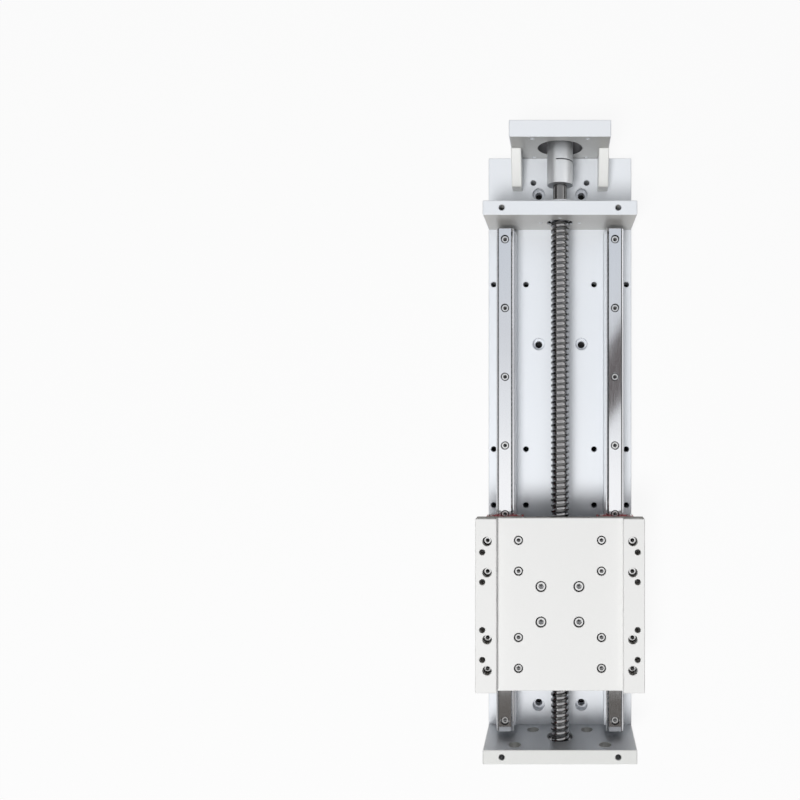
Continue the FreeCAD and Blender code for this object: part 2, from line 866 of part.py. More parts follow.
def make_screw():
    body = new_body("ball_screw")
    profile = axis_sketch(body, "screw_profile")
    bevel = size("journal_bevel")
    rolled = size("screw_diameter") / 2
    idle = size("idle_journal") / 2
    drive = size("drive_journal") / 2
    grip = size("coupling_journal") / 2
    tail = -idle_bearing_end - size("circlip_thickness") - size("bearing_lip") / 2
    clip = -idle_bearing_end
    clip_far = clip - size("circlip_thickness") - size("fit_gap") * 2
    clip_floor = idle - size("circlip_depth")
    step = coupling_start - bevel
    tip = coupling_start + size("coupling_grip")
    draw_polygon(
        profile,
        [
            (tail, 0),
            (tail, idle - bevel),
            (tail + bevel, idle),
            (clip_far, idle),
            (clip_far, clip_floor),
            (clip, clip_floor),
            (clip, idle),
            (-bearing_seat, idle),
            (-bearing_seat, rolled - bevel),
            (-bearing_seat + bevel, rolled),
            (bearing_seat - bevel, rolled),
            (bearing_seat, rolled - bevel),
            (bearing_seat, drive),
            (step, drive),
            (step, grip),
            (tip - bevel, grip),
            (tip, grip - bevel),
            (tip, 0),
        ],
    )
    revolve(body, "screw_turned", profile)


# Support bearings: an inner ring, an outer ring and the balls between them

def make_bearing(word, side, start, width, inner, outer):
    """Two rings from the seat outwards; inner and outer are the shaft's and the housing's diameters."""
    low, high = (start, start + width) if side == 1 else (-start - width, -start)
    wall = size("ring_wall")
    gap = size("fit_gap")
    rings = {
        "inner_ring": (inner / 2 + gap, inner / 2 + gap + wall),
        "outer_ring": (outer / 2 - wall, outer / 2),
    }
    for label, (near, far) in rings.items():
        body = new_body(f"{word}_bearing_{label}")
        section = axis_sketch(body, "ring_section")
        draw_box(section, low, high, near, far)
        revolve(body, "ring", section)
    ball_low = rings["inner_ring"][1] + gap
    ball_high = rings["outer_ring"][0] - gap
    return (low + high) / 2, (ball_low + ball_high) / 2, (ball_high - ball_low) / 2


def make_bearings():
    setups = (
        ("drive", 1, size("drive_bearing_width"), size("drive_journal"), size("drive_bearing_outer")),
        ("idle", -1, size("idle_bearing_width"), size("idle_journal"), size("idle_bearing_outer")),
    )
    balls = []
    for word, side, width, inner, outer in setups:
        along, reach, ball = make_bearing(word, side, bearing_seat, width, inner, outer)
        number = count(f"{word}_ball_count")
        for i in range(number):
            turn = 2 * math.pi * i / number
            middle = V(reach.value * math.sin(turn), along.value, axis_z.value + reach.value * math.cos(turn))
            balls.append(Part.makeSphere(ball.value, middle))
    node = doc.addObject("Part::Feature", "bearing_balls")
    node.Label = "bearing_balls"
    node.Shape = Part.makeCompound(balls)
    sub_parts.append(node)


def make_bearing_keepers():
    cover = new_body("bearing_cover")
    section = axis_sketch(cover, "cover_section")
    far = plate_back + size("cover_thickness")
    seat = size("drive_bearing_outer") / 2 + size("fit_gap")
    draw_polygon(
        section,
        [
            (plate_back, seat),
            (plate_back, size("cover_diameter") / 2),
            (far, size("cover_diameter") / 2),
            (far, size("cover_opening") / 2),
            (drive_bearing_end, size("cover_opening") / 2),
            (drive_bearing_end, seat),
        ],
    )
    revolve(cover, "cover_turned", section)
    places = cover_screw_places()
    cross_holes(cover, "counterbores", far, places, counterbore("m3"), size("m3_head_height"), True)
    cross_holes(cover, "screw_holes", far, places, passing("m3"), None, True)

    nut = new_body("lock_nut")
    section = axis_sketch(nut, "nut_section")
    thick = size("lock_nut_thickness")
    inner = size("drive_journal") / 2 + size("fit_gap")
    outer = size("lock_nut_diameter") / 2
    draw_box(section, drive_bearing_end, drive_bearing_end + thick, inner, outer)
    revolve(nut, "nut_turned", section)
    slots = cross_sketch(nut, "slot_outlines", drive_bearing_end + thick)
    half = size("lock_nut_slot") / 2
    floor = (inner + outer) / 2
    for side in (-1, 1):
        near, far = (floor, outer * 2) if side == 1 else (-(outer * 2), -floor)
        draw_box(slots, near, far, axis_z - half, axis_z + half)
    pocket(nut, "spanner_slots", slots, thick / 2, True)

    clip_far = -idle_bearing_end - size("fit_gap")
    clip_near = clip_far - size("circlip_thickness")
    groove_out = size("idle_bearing_outer") / 2 + size("circlip_depth")
    groove_in = size("idle_journal") / 2 - size("circlip_depth") + size("fit_gap")
    clips = {
        "housing_circlip": (groove_out - size("circlip_height"), groove_out),
        "shaft_circlip": (groove_in, groove_in + size("circlip_height")),
    }
    for label, (near, far) in clips.items():
        clip = new_body(label)
        section = axis_sketch(clip, "clip_section")
        draw_box(section, clip_near, clip_far, near, far)
        revolve(clip, "clip_ring", section, size("circlip_arc"))


# Motor plate, its gussets and the slit coupling

def make_motor_mount():
    body = new_body("motor_plate")
    outline = cross_sketch(body, "motor_plate_outline", motor_face)
    half = size("motor_plate_width") / 2
    top = base_top + size("motor_plate_height")
    draw_box(outline, -half, half, size("motor_plate_lift"), top)
    slab = pad(body, "motor_plate_slab", outline, size("motor_plate_thickness"))
    break_edges(body, slab, size("edge_break"))
    cross_holes(body, "pilot", motor_face, [(0, axis_z)], size("pilot_diameter"), None, True)
    bolts = four(size("motor_bolt_spacing"), size("motor_bolt_spacing"), 0, axis_z)
    cross_holes(body, "motor_bolt_holes", motor_face, bolts, size("m5_core"), None, True)
    places = plate_screw_places() + pair(gusset_x * 2, base_top + size("gusset_screw_height"))
    depth = counterbore_depth("m5")
    cross_holes(body, "counterbores", motor_face, places, counterbore("m5"), depth, True)
    cross_holes(body, "screw_holes", motor_face, places, passing("m5"), None, True)

    for word, side in sides.items():
        gusset = new_body(f"motor_gusset_{word}")
        low_x = gusset_x * side - size("gusset_width") / 2
        section = new_sketch(gusset, "gusset_section", "YZ_Plane", low_x)
        free = motor_end - size("gusset_length")
        tall = base_top + size("gusset_tall")
        low = base_top + size("gusset_low")
        draw_polygon(section, [(free, base_top), (motor_end, base_top), (motor_end, tall), (free, low)])
        web = pad(gusset, "gusset_web", section, size("gusset_width"))
        break_edges(gusset, web, size("edge_break"))
        feet = [(gusset_x * side, row_y) for row_y in gusset_screw_rows]
        spare = size("hole_spare")
        into = size("gusset_base_screw_length") - base_top + counterbore_depth("m5") + spare
        level_holes(gusset, "foot_holes", base_top, feet, tapped("m5"), into, True)
        grip = size("motor_plate_thickness") - counterbore_depth("m5")
        into = size("gusset_plate_screw_length") - grip + spare
        back = [(gusset_x * side, base_top + size("gusset_screw_height"))]
        cross_holes(gusset, "back_hole", motor_end, back, tapped("m5"), into, True)


def along_cylinder(name, diameter, start, length):
    rod = doc.addObject("Part::Cylinder", name)
    bind(rod, "Radius", diameter / 2)
    bind(rod, "Height", length)
    rod.Placement = FreeCAD.Placement(V(0, 0, 0), FreeCAD.Rotation(V(1, 0, 0), -90))
    bind(rod, "Placement.Base.y", start)
    bind(rod, "Placement.Base.z", axis_z)
    return rod


def make_coupling():
    """A one-piece coupling: two bores that meet in the middle, a slit from the side and one from below."""
    reach = size("coupling_diameter")
    half = size("coupling_length") / 2
    middle = coupling_start + half
    body = along_cylinder("coupling_bar", reach, coupling_start, size("coupling_length"))
    gap = size("fit_gap") * 2
    bores = [
        along_cylinder("screw_bore", size("coupling_journal") + gap, coupling_start, half),
        along_cylinder("motor_bore", size("motor_shaft"), middle, half),
    ]
    slits = []
    web = size("coupling_web")
    from_side = (-web, middle, axis_z - reach / 2)
    from_below = (-(reach / 2), middle + size("coupling_slit_pitch"), axis_z + web - reach)
    for left, along, low in (from_side, from_below):
        slit = doc.addObject("Part::Box", "coupling_slit")
        bind(slit, "Length", reach)
        bind(slit, "Width", size("coupling_slit"))
        bind(slit, "Height", reach)
        bind(slit, "Placement.Base.x", left)
        bind(slit, "Placement.Base.y", along - size("coupling_slit") / 2)
        bind(slit, "Placement.Base.z", low)
        slits.append(slit)
    holes = []
    for along in grip_screw_rows():
        for turn in grip_screw_turns:
            hole = doc.addObject("Part::Cylinder", "grip_screw_hole")
            bind(hole, "Radius", tapped("m4") / 2)
            bind(hole, "Height", reach)
            hole.Placement.Rotation = FreeCAD.Rotation(V(0, 0, 1), turn)
            bind(hole, "Placement.Base.y", along)
            bind(hole, "Placement.Base.z", axis_z)
            holes.append(hole)
    tools = doc.addObject("Part::MultiFuse", "coupling_cuts")
    tools.Shapes = bores + slits + holes
    cut = doc.addObject("Part::Cut", "shaft_coupling")
    cut.Base = body
    cut.Tool = tools
    cut.Label = "shaft_coupling"
    sub_parts.append(cut)
    doc.recompute()

    screws = []
    long = (size("coupling_diameter") - size("coupling_journal")) / 2 - size("passing_gap") * 2
    for along in grip_screw_rows():
        for turn in grip_screw_turns:
            start = V(0, along.value, axis_z.value) + turn * (size("coupling_journal").value / 2 + gap.value)
            stud = Part.makeCylinder(size("m4_thread").value / 2, long.value, start, turn)
            key = hex_prism(size("grip_key").value, long.value / 2, start + turn * (long.value / 2), turn)
            screws.append(stud.cut(key))
    node = doc.addObject("Part::Feature", "grip_screws")
    node.Label = "grip_screws"
    node.Shape = Part.makeCompound(screws)
    sub_parts.append(node)


grip_screw_turns = (V(-1, 0, 0), V(0, 0, -1))


def grip_screw_rows():
    return [coupling_start + size("grip_screw_setback"), coupling_end - size("grip_screw_setback")]


def hex_prism(across, height, start, turn):
    """A hexagonal bar of a given key width, from a start point along a direction."""
    reach = across / math.sqrt(3)
    angles = [math.pi * i / 3 for i in range(7)]
    corners = [V(reach * math.cos(angle), reach * math.sin(angle), 0) for angle in angles]
    bar = Part.Face(Part.makePolygon(corners)).extrude(V(0, 0, height))
    bar.Placement = FreeCAD.Placement(start, FreeCAD.Rotation(V(0, 0, 1), turn))
    return bar


# Socket head screws: one master of each kind, copied to its places as a group of solids

def screw_master(thread, length):
    head = doc.addObject("Part::Cylinder", f"{thread}_screw_head")
    bind(head, "Radius", size(f"{thread}_head") / 2)
    bind(head, "Height", size(f"{thread}_head_height"))
    shank = doc.addObject("Part::Cylinder", f"{thread}_screw_shank")
    bind(shank, "Radius", size(f"{thread}_thread") / 2)
    bind(shank, "Height", length)
    bind(shank, "Placement.Base.z", -length)
    key = doc.addObject("Part::Prism", f"{thread}_screw_key")
    key.Polygon = 6
    bind(key, "Circumradius", size(f"{thread}_key") / math.sqrt(3))
    bind(key, "Height", size(f"{thread}_head_height"))
    bind(key, "Placement.Base.z", size(f"{thread}_head_height") / 2)
    whole = doc.addObject("Part::Fuse", f"{thread}_screw_blank")
    whole.Base = head
    whole.Tool = shank
    master = doc.addObject("Part::Cut", f"{thread}_screw_master")
    master.Base = whole
    master.Tool = key
    doc.recompute()
    return master


def screw_group(label, thread, length, places, facing):
    """places are the points under the heads; facing is where the heads look."""
    master = screw_master(thread, length)
    turn = FreeCAD.Rotation(V(0, 0, 1), facing)
    copies = []
    for place in places:
        copy = master.Shape.copy()
        copy.Placement = FreeCAD.Placement(V(*[as_size(number).value for number in place]), turn)
        copies.append(copy)
    node = doc.addObject("Part::Feature", label)
    node.Label = label
    node.Shape = Part.makeCompound(copies)
    sub_parts.append(node)


def make_screws():
    up, down = V(0, 0, 1), V(0, 0, -1)
    front, back = V(0, 1, 0), V(0, -1, 0)
    rail_seat = rail_foot + rail_screw_grip
    for word, side in sides.items():
        places = [(rail_x * side, row_y, rail_seat) for row_y in rail_hole_rows]
        screw_group(f"rail_screws_{word}", "m4", size("rail_screw_length"), places, up)

    under = counterbore_depth("m5")
    places = [(rail_x * side, row_y, under) for side in sides.values() for row_y in riser_screw_rows]
    screw_group("riser_screws", "m5", size("riser_screw_length"), places, down)
    places = [(gusset_x * side, row_y, under) for side in sides.values() for row_y in gusset_screw_rows]
    screw_group("gusset_base_screws", "m5", size("gusset_base_screw_length"), places, down)

    under = counterbore_depth("m6")
    for word, side in (("drive", 1), ("idle", -1)):
        places = [(across, plate_middle * side, under) for across in end_screw_across]
        screw_group(f"{word}_plate_screws", "m6", size("end_screw_length"), places, down)

    seat = motor_face - counterbore_depth("m5")
    places = [(across, seat, up_z) for across, up_z in plate_screw_places()]
    screw_group("motor_plate_screws", "m5", size("plate_screw_length"), places, front)
    height = base_top + size("gusset_screw_height")
    places = [(gusset_x * side, seat, height) for side in sides.values()]
    screw_group("gusset_plate_screws", "m5", size("gusset_plate_screw_length"), places, front)

    seat = plate_back + size("cover_thickness") - size("m3_head_height")
    places = [(across, seat, up_z) for across, up_z in cover_screw_places()]
    screw_group("bearing_cover_screws", "m3", size("cover_screw_length"), places, front)

    pitch = size("carriage_bolt_pitch")
    inner, outer = [], []
    for side in sides.values():
        for row_y in carriage_rows.values():
            for across, along in four(pitch, pitch, rail_x * side, row_y):
                row = inner if abs(across.value) < rail_x.value else outer
                row.append((across, along, carriage_seat))
    screw_group("carriage_screws_inner", "m4", size("carriage_screw_length"), inner, up)
    screw_group("carriage_screws_outer", "m4", size("carriage_screw_length"), outer, up)

    places = four(size("nut_bolt_across"), size("nut_bolt_along"), 0, table_y)
    places = [(across, along, nut_seat) for across, along in places]
    screw_group("nut_bracket_screws", "m5", size("nut_screw_length"), places, up)
    places = [(across, flange_front, up_z) for across, up_z in flange_screw_places()]
    screw_group("nut_flange_screws", "m5", size("flange_screw_length"), places, front)

    reach = size("carriage_length") / 2 + size("cap_length") + size("seal_thickness")
    for word, sign, facing in (("front", 1, front), ("back", -1, back)):
        places = []
        for side in sides.values():
            for row_y in carriage_rows.values():
                for across, height in seal_screw_places(rail_x * side):
                    places.append((across, row_y + reach * sign, height))
        screw_group(f"seal_screws_{word}", "m3", size("seal_screw_length"), places, facing)


def write_parts():
    doc.recompute()
    for item in doc.Objects:
        if "Invalid" in item.State or "Error" in item.State:
            raise RuntimeError(f"{item.Name} failed: {item.State}")
    for item in sub_parts:
        if item.Shape.isNull() or not item.Shape.isValid():
            raise RuntimeError(f"{item.Label} has no valid shape")
    os.makedirs("parts", exist_ok=True)
    for item in sub_parts:
        item.Shape.exportStep(f"parts/{item.Label}.step")
    print(len(sub_parts), "sub-parts written")


make_base()
make_drive_plate()
make_idle_plate()
for rail_word, rail_side in sides.items():
    make_rail(rail_word, rail_side)
    for carriage_place, carriage_y in carriage_rows.items():
        make_carriage(carriage_place, carriage_y, rail_word, rail_side)
make_table()
make_nut()
make_screw()
make_bearings()
make_bearing_keepers()
make_motor_mount()
make_coupling()
make_screws()
write_parts()
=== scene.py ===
import json
import math
import bpy
import numpy as np
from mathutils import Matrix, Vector


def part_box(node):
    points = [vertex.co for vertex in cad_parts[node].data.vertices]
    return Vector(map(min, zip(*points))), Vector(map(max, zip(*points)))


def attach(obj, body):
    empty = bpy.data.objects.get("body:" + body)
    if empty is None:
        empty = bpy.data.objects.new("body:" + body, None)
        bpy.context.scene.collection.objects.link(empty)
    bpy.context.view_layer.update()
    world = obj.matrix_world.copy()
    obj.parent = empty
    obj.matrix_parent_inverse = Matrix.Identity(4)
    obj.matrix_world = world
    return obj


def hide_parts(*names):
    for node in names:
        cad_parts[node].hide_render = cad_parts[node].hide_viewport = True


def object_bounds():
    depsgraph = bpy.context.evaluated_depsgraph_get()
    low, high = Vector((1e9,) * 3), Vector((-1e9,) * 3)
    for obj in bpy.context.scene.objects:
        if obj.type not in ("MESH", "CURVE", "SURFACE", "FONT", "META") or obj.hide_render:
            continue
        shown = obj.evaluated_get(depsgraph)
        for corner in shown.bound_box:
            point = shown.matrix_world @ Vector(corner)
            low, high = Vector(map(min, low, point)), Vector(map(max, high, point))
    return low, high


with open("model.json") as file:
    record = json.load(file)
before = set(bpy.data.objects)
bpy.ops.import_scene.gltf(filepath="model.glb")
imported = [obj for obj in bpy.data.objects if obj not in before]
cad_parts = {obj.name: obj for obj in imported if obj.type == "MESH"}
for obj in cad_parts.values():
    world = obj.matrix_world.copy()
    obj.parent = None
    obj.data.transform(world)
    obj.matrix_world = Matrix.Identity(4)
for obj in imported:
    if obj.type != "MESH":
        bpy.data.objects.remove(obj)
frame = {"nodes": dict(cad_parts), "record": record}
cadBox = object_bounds()
nodes = frame["nodes"]
millimetre = 0.001


# shader nodes: each helper takes other nodes' outputs or plain values, and gives an output

def opaque(colour):
    return (*colour, 1)


def feed(tree, value, socket):
    if isinstance(value, bpy.types.NodeSocket):
        tree.links.new(value, socket)
    else:
        socket.default_value = value


def mathNode(tree, operation, *values):
    node = tree.nodes.new("ShaderNodeMath")
    node.operation = operation
    for value, socket in zip(values, node.inputs):
        feed(tree, value, socket)
    return node.outputs[0]


def vectorNode(tree, operation, *values):
    node = tree.nodes.new("ShaderNodeVectorMath")
    node.operation = operation
    for value, socket in zip(values, node.inputs):
        feed(tree, value, socket)
    return node.outputs["Value" if operation == "LENGTH" else "Vector"]


def noiseNode(tree, place, scale, detail, roughness):
    node = tree.nodes.new("ShaderNodeTexNoise")
    for label, value in (("Vector", place), ("Scale", scale), ("Detail", detail), ("Roughness", roughness)):
        feed(tree, value, node.inputs[label])
    return node.outputs["Fac"]


def rangeNode(tree, value, given, wanted=(0, 1)):
    node = tree.nodes.new("ShaderNodeMapRange")
    labels = ("Value", "From Min", "From Max", "To Min", "To Max")
    for label, part in zip(labels, (value, *given, *wanted)):
        feed(tree, part, node.inputs[label])
    return node.outputs[0]


def mixNode(tree, factor, first, second, blend="MIX"):
    node = tree.nodes.new("ShaderNodeMix")
    node.data_type = "RGBA"
    node.blend_type = blend
    for label, value in (("Factor", factor), ("A", first), ("B", second)):
        feed(tree, value, node.inputs[label])
    return node.outputs["Result"]


def objectPlace(tree):
    return tree.nodes.new("ShaderNodeTexCoord").outputs["Object"]


# effects that several finishes share: one node group each, placed in a finish with its own values

effects = dict(
    grainNoise=(3, 0.6), cloudNoise=(4, 0.55), speckNoise=(1, 0.5),  # detail and roughness
    speckScale=2600, speckRange=(0.64, 0.78),  # the rare bright end of fine noise
    roughRange=(0.3, 0.7),  # grain where a finish is smoothest and where it is roughest
    bumpHeight=0.02,  # mm
    holeReach=6, holeSamples=6, holeSky=(0.38, 0.08),  # mm, and open sky at a hole's mouth and deep in it
    # the tone of painted shade in holes and on the pilot opening's wall
    holeShadeTone=(0.09, 0.09, 0.095),
    endFacing=0.9,  # how straight along the slide an end face looks
)


def newGroup(name, inputs, outputs):
    # inputs and outputs give each socket's label and type
    group = bpy.data.node_groups.new(name, "ShaderNodeTree")
    for way, sockets in (("INPUT", inputs), ("OUTPUT", outputs)):
        for label, kind in sockets.items():
            group.interface.new_socket(label, in_out=way, socket_type=f"NodeSocket{kind}")
    return group, group.nodes.new("NodeGroupInput").outputs, group.nodes.new("NodeGroupOutput").inputs


def placeGroup(tree, group, values):
    node = tree.nodes.new("ShaderNodeGroup")
    node.node_tree = group
    for label, value in values.items():
        feed(tree, value, node.inputs[label])
    return node.outputs


def makeSurfaceGroup():
    # Grain is noise drawn out along one axis, which streaks the colour and varies the roughness
    # slow noise blends Colour with Shade, and Speck is the rare bright end of fine noise
    group, given, result = newGroup(
        "machinedSurface",
        {"Colour": "Color", "Shade": "Color", "Stretch": "Vector", "Grain Scale": "Float",
         "Cloud Scale": "Float", "Streak": "Float", "Smooth": "Float", "Rough": "Float"},
        {"Colour": "Color", "Roughness": "Float", "Grain": "Float", "Speck": "Float"},
    )
    place = objectPlace(group)
    drawn = vectorNode(group, "MULTIPLY", place, given["Stretch"])
    grain = noiseNode(group, drawn, given["Grain Scale"], *effects["grainNoise"])
    cloud = noiseNode(group, place, given["Cloud Scale"], *effects["cloudNoise"])
    fine = noiseNode(group, place, effects["speckScale"], *effects["speckNoise"])
    tint = mixNode(group, cloud, given["Colour"], given["Shade"])
    streaked = mixNode(group, given["Streak"], tint, grain, "SOFT_LIGHT")
    rough = rangeNode(group, grain, effects["roughRange"], (given["Smooth"], given["Rough"]))
    feed(group, streaked, result["Colour"])
    feed(group, rough, result["Roughness"])
    feed(group, grain, result["Grain"])
    feed(group, rangeNode(group, fine, effects["speckRange"]), result["Speck"])
    return group


def makeToneGroup(name, findMask):
    # blends Colour with Tone by a mask, as far as Depth says; here each such group paints shade, and the one
    # for new pieces also the lands' own as-rolled black
    group, given, result = newGroup(
        name, {"Colour": "Color", "Tone": "Color", "Depth": "Float"}, {"Colour": "Color"})
    factor = mathNode(group, "MULTIPLY", findMask(group), given["Depth"])
    feed(group, mixNode(group, factor, given["Colour"], given["Tone"]), result["Colour"])
    return group


def rolledBlackAndShade(tree):
    # a new piece's shade attribute: 1 on the thread's lands and on heads' flanks, 0 on a mesh that has none;
    # it marks painted shade in sockets, round rims, on flanks, groove walls and journals, and on the lands
    # partly their own as-rolled black
    attribute = tree.nodes.new("ShaderNodeAttribute")
    attribute.attribute_name = "shade"
    return attribute.outputs["Fac"]


def holeShadeMask(tree):
    # painted shade: 1 where the piece itself leaves little open sky within a few millimetres, as in bored and
    # tapped holes
    sky = tree.nodes.new("ShaderNodeAmbientOcclusion")
    sky.samples = effects["holeSamples"]
    sky.only_local = True
    sky.inputs["Distance"].default_value = effects["holeReach"] * millimetre
    return rangeNode(tree, sky.outputs["AO"], effects["holeSky"])


def endShadeMask(tree):
    # 1 on faces that look along the slide, which take painted shade
    facing = tree.nodes.new("ShaderNodeSeparateXYZ")
    feed(tree, tree.nodes.new("ShaderNodeNewGeometry").outputs["Normal"], facing.inputs[0])
    straight = mathNode(tree, "ABSOLUTE", facing.outputs["Y"])
    return mathNode(tree, "GREATER_THAN", straight, effects["endFacing"])


surfaceGroup = makeSurfaceGroup()
rolledBlackAndShadeGroup = makeToneGroup("rolledBlackAndShade", rolledBlackAndShade)
holeShadeGroup = makeToneGroup("paintedHoleShade", holeShadeMask)
endShadeGroup = makeToneGroup("paintedEndShade", endShadeMask)
print("shared effects made")


# finishes

def boreShadeMask(tree, height, radius):
    # 1 nearer than radius to the line x = 0, z = height, both in mm, where the pilot opening's wall takes
    # painted shade
    offset = vectorNode(tree, "SUBTRACT", objectPlace(tree), (0, 0, height * millimetre))
    reach = vectorNode(tree, "LENGTH", vectorNode(tree, "MULTIPLY", offset, (1, 0, 1)))
    return mathNode(tree, "LESS_THAN", reach, radius * millimetre)


def finish(name, spec):
    material = bpy.data.materials.new(name)
    material.use_nodes = True
    tree = material.node_tree
    shader = tree.nodes["Principled BSDF"]
    shader.inputs["Metallic"].default_value = spec["metal"]
    if "specular" in spec:
        shader.inputs["Specular IOR Level"].default_value = spec["specular"]

    smooth, rough = spec["rough"]
    surface = placeGroup(tree, surfaceGroup, {
        "Colour": opaque(spec["colour"]), "Shade": opaque(spec["shade"]), "Stretch": spec["stretch"],
        "Grain Scale": spec["grain"], "Cloud Scale": spec["cloud"], "Streak": spec["streak"],
        "Smooth": smooth, "Rough": rough,
    })
    # each tone below paints shade into the colour, and on a thread's lands also their own as-rolled black
    tones = []
    if "rolledBlackAndShadeTone" in spec:
        tones.append((rolledBlackAndShadeGroup, spec["rolledBlackAndShadeTone"], 1))
    if "holeShadeDepth" in spec:
        tones.append((holeShadeGroup, effects["holeShadeTone"], spec["holeShadeDepth"]))
    if "endShadeTone" in spec:
        tones.append((endShadeGroup, spec["endShadeTone"], 1))
    colour = surface["Colour"]
    for group, tone, depth in tones:
        colour = placeGroup(tree, group, {"Colour": colour, "Tone": opaque(tone), "Depth": depth})["Colour"]
    # painted shade on the pilot opening's wall
    if "bore" in spec:
        colour = mixNode(tree, boreShadeMask(tree, *spec["bore"]), colour, opaque(effects["holeShadeTone"]))
    feed(tree, colour, shader.inputs["Base Color"])
    feed(tree, surface["Roughness"], shader.inputs["Roughness"])

    bump = tree.nodes.new("ShaderNodeBump")
    bump.inputs["Strength"].default_value = spec["bump"]
    bump.inputs["Distance"].default_value = effects["bumpHeight"] * millimetre
    feed(tree, surface["Speck" if spec.get("blasted") else "Grain"], bump.inputs["Height"])
    feed(tree, bump.outputs["Normal"], shader.inputs["Normal"])
    return material


along = (1, 0.03, 1)  # grain drawn out along the slide
turned = (0.2, 1, 0.2)  # rings round a turned piece
even = (1, 1, 1)

# rough is (smoothest, roughest), and blasted takes the bump from specks instead of grain
# rolledBlackAndShadeTone is the tone of a new piece's shaded parts, painted shade and on a thread's lands
# also their own as-rolled black; holeShadeDepth is how much painted shade holes get, endShadeTone the painted
# shade on end faces
finishes = {
    "anodisedSilver": dict(
        colour=(0.83, 0.855, 0.89), shade=(0.80, 0.825, 0.86), metal=0.4, rough=(0.34, 0.44), holeShadeDepth=0.7,
        stretch=even, grain=700, cloud=9, streak=0.10, bump=0.25, blasted=True),
    "anodisedPlain": dict(
        colour=(0.82, 0.825, 0.81), shade=(0.80, 0.805, 0.79), metal=0.5, rough=(0.34, 0.46), holeShadeDepth=0.7,
        stretch=even, grain=700, cloud=9, streak=0.10, bump=0.25, blasted=True),
    "anodisedTable": dict(
        colour=(0.755, 0.755, 0.75), shade=(0.735, 0.735, 0.725), metal=0.15, rough=(0.48, 0.58), holeShadeDepth=0.6,
        # the table's end faces get painted shade
        specular=0.25, endShadeTone=(0.34, 0.32, 0.29),
        stretch=even, grain=700, cloud=7, streak=0.08, bump=0.25, blasted=True),
    "groundRail": dict(
        colour=(0.84, 0.845, 0.865), shade=(0.80, 0.805, 0.83), metal=1.0, rough=(0.06, 0.12),
        stretch=along, grain=2600, cloud=14, streak=0.15, bump=0.06),
    "groundCarriage": dict(
        colour=(0.55, 0.56, 0.58), shade=(0.46, 0.47, 0.49), metal=1.0, rough=(0.24, 0.38),
        stretch=along, grain=2200, cloud=20, streak=0.25, bump=0.15),
    "rolledScrew": dict(
        colour=(0.40, 0.395, 0.40), shade=(0.34, 0.335, 0.34), metal=1.0, rough=(0.16, 0.24),
        rolledBlackAndShadeTone=(0.14, 0.14, 0.14), stretch=turned, grain=1800, cloud=60, streak=0.2, bump=0.06),
    "bearingSteel": dict(
        colour=(0.40, 0.40, 0.41), shade=(0.34, 0.34, 0.35), metal=1.0, rough=(0.14, 0.24),
        stretch=turned, grain=2400, cloud=60, streak=0.2, bump=0.1),
    "brightScrew": dict(
        colour=(0.80, 0.80, 0.795), shade=(0.70, 0.70, 0.70), metal=1.0, rough=(0.18, 0.28),
        rolledBlackAndShadeTone=(0.11, 0.11, 0.115), stretch=even, grain=2400, cloud=160, streak=0.2, bump=0.08),
    "turnedCoupling": dict(
        colour=(0.80, 0.815, 0.83), shade=(0.76, 0.775, 0.79), metal=1.0, rough=(0.46, 0.52),
        stretch=turned, grain=2600, cloud=40, streak=0.08, bump=0.02),
    "darkSpring": dict(
        colour=(0.10, 0.10, 0.105), shade=(0.06, 0.06, 0.065), metal=1.0, rough=(0.3, 0.45),
        stretch=even, grain=1500, cloud=80, streak=0.2, bump=0.2),
    "redSeal": dict(
        colour=(0.44, 0.020, 0.022), shade=(0.34, 0.014, 0.016), metal=0.0, rough=(0.42, 0.6),
        stretch=even, grain=1800, cloud=90, streak=0.2, bump=0.3, blasted=True),
    "blackCap": dict(
        colour=(0.030, 0.031, 0.034), shade=(0.020, 0.021, 0.023), metal=0.0, rough=(0.4, 0.58),
        stretch=even, grain=1800, cloud=90, streak=0.2, bump=0.4, blasted=True),
    "paleWiper": dict(
        colour=(0.72, 0.70, 0.64), shade=(0.64, 0.62, 0.56), metal=0.0, rough=(0.4, 0.55),
        stretch=even, grain=1800, cloud=90, streak=0.2, bump=0.3, blasted=True),
}
# a copy of anodisedPlain whose lower colour is painted shade for the idle plate, which gets little light; its
# end faces get painted shade too
finishes["anodisedIdleShaded"] = dict(
    finishes["anodisedPlain"], colour=(0.74, 0.745, 0.73), shade=(0.72, 0.725, 0.71),
    endShadeTone=(0.55, 0.57, 0.59))
# the end plates' end faces get painted shade
finishes["anodisedDrive"] = dict(finishes["anodisedSilver"], endShadeTone=(0.52, 0.51, 0.49))
finishes["anodisedMotor"] = dict(
    finishes["anodisedSilver"], endShadeTone=(0.48, 0.48, 0.47),
    bore=(41.0, 19.65))  # height and radius in mm of the pilot opening, whose wall takes painted shade
finishOf = {
    "anodised_aluminium": "anodisedSilver", "table_aluminium": "anodisedTable", "rail_steel": "groundRail",
    "carriage_steel": "groundCarriage", "screw_steel": "rolledScrew", "bearing_steel": "bearingSteel",
    "fastener_steel": "brightScrew", "spring_steel": "darkSpring", "coupling_aluminium": "turnedCoupling",
    "seal_rubber": "redSeal", "cap_plastic": "blackCap", "wiper_plastic": "paleWiper",
}
ownFinish = {
    "motor_plate": "anodisedMotor", "idle_end_plate": "anodisedIdleShaded", "drive_end_plate": "anodisedDrive",
    "motor_gusset_left": "anodisedPlain", "motor_gusset_right": "anodisedPlain",
}
materials = {name: finish(name, spec) for name, spec in finishes.items()}
for row in frame["record"]["subparts"]:
    piece = nodes[row["node"]]
    piece.data.materials.clear()
    piece.data.materials.append(materials[ownFinish.get(row["node"], finishOf[row["material_slot"]])])
print("finishes on", len(nodes), "nodes")


# pieces

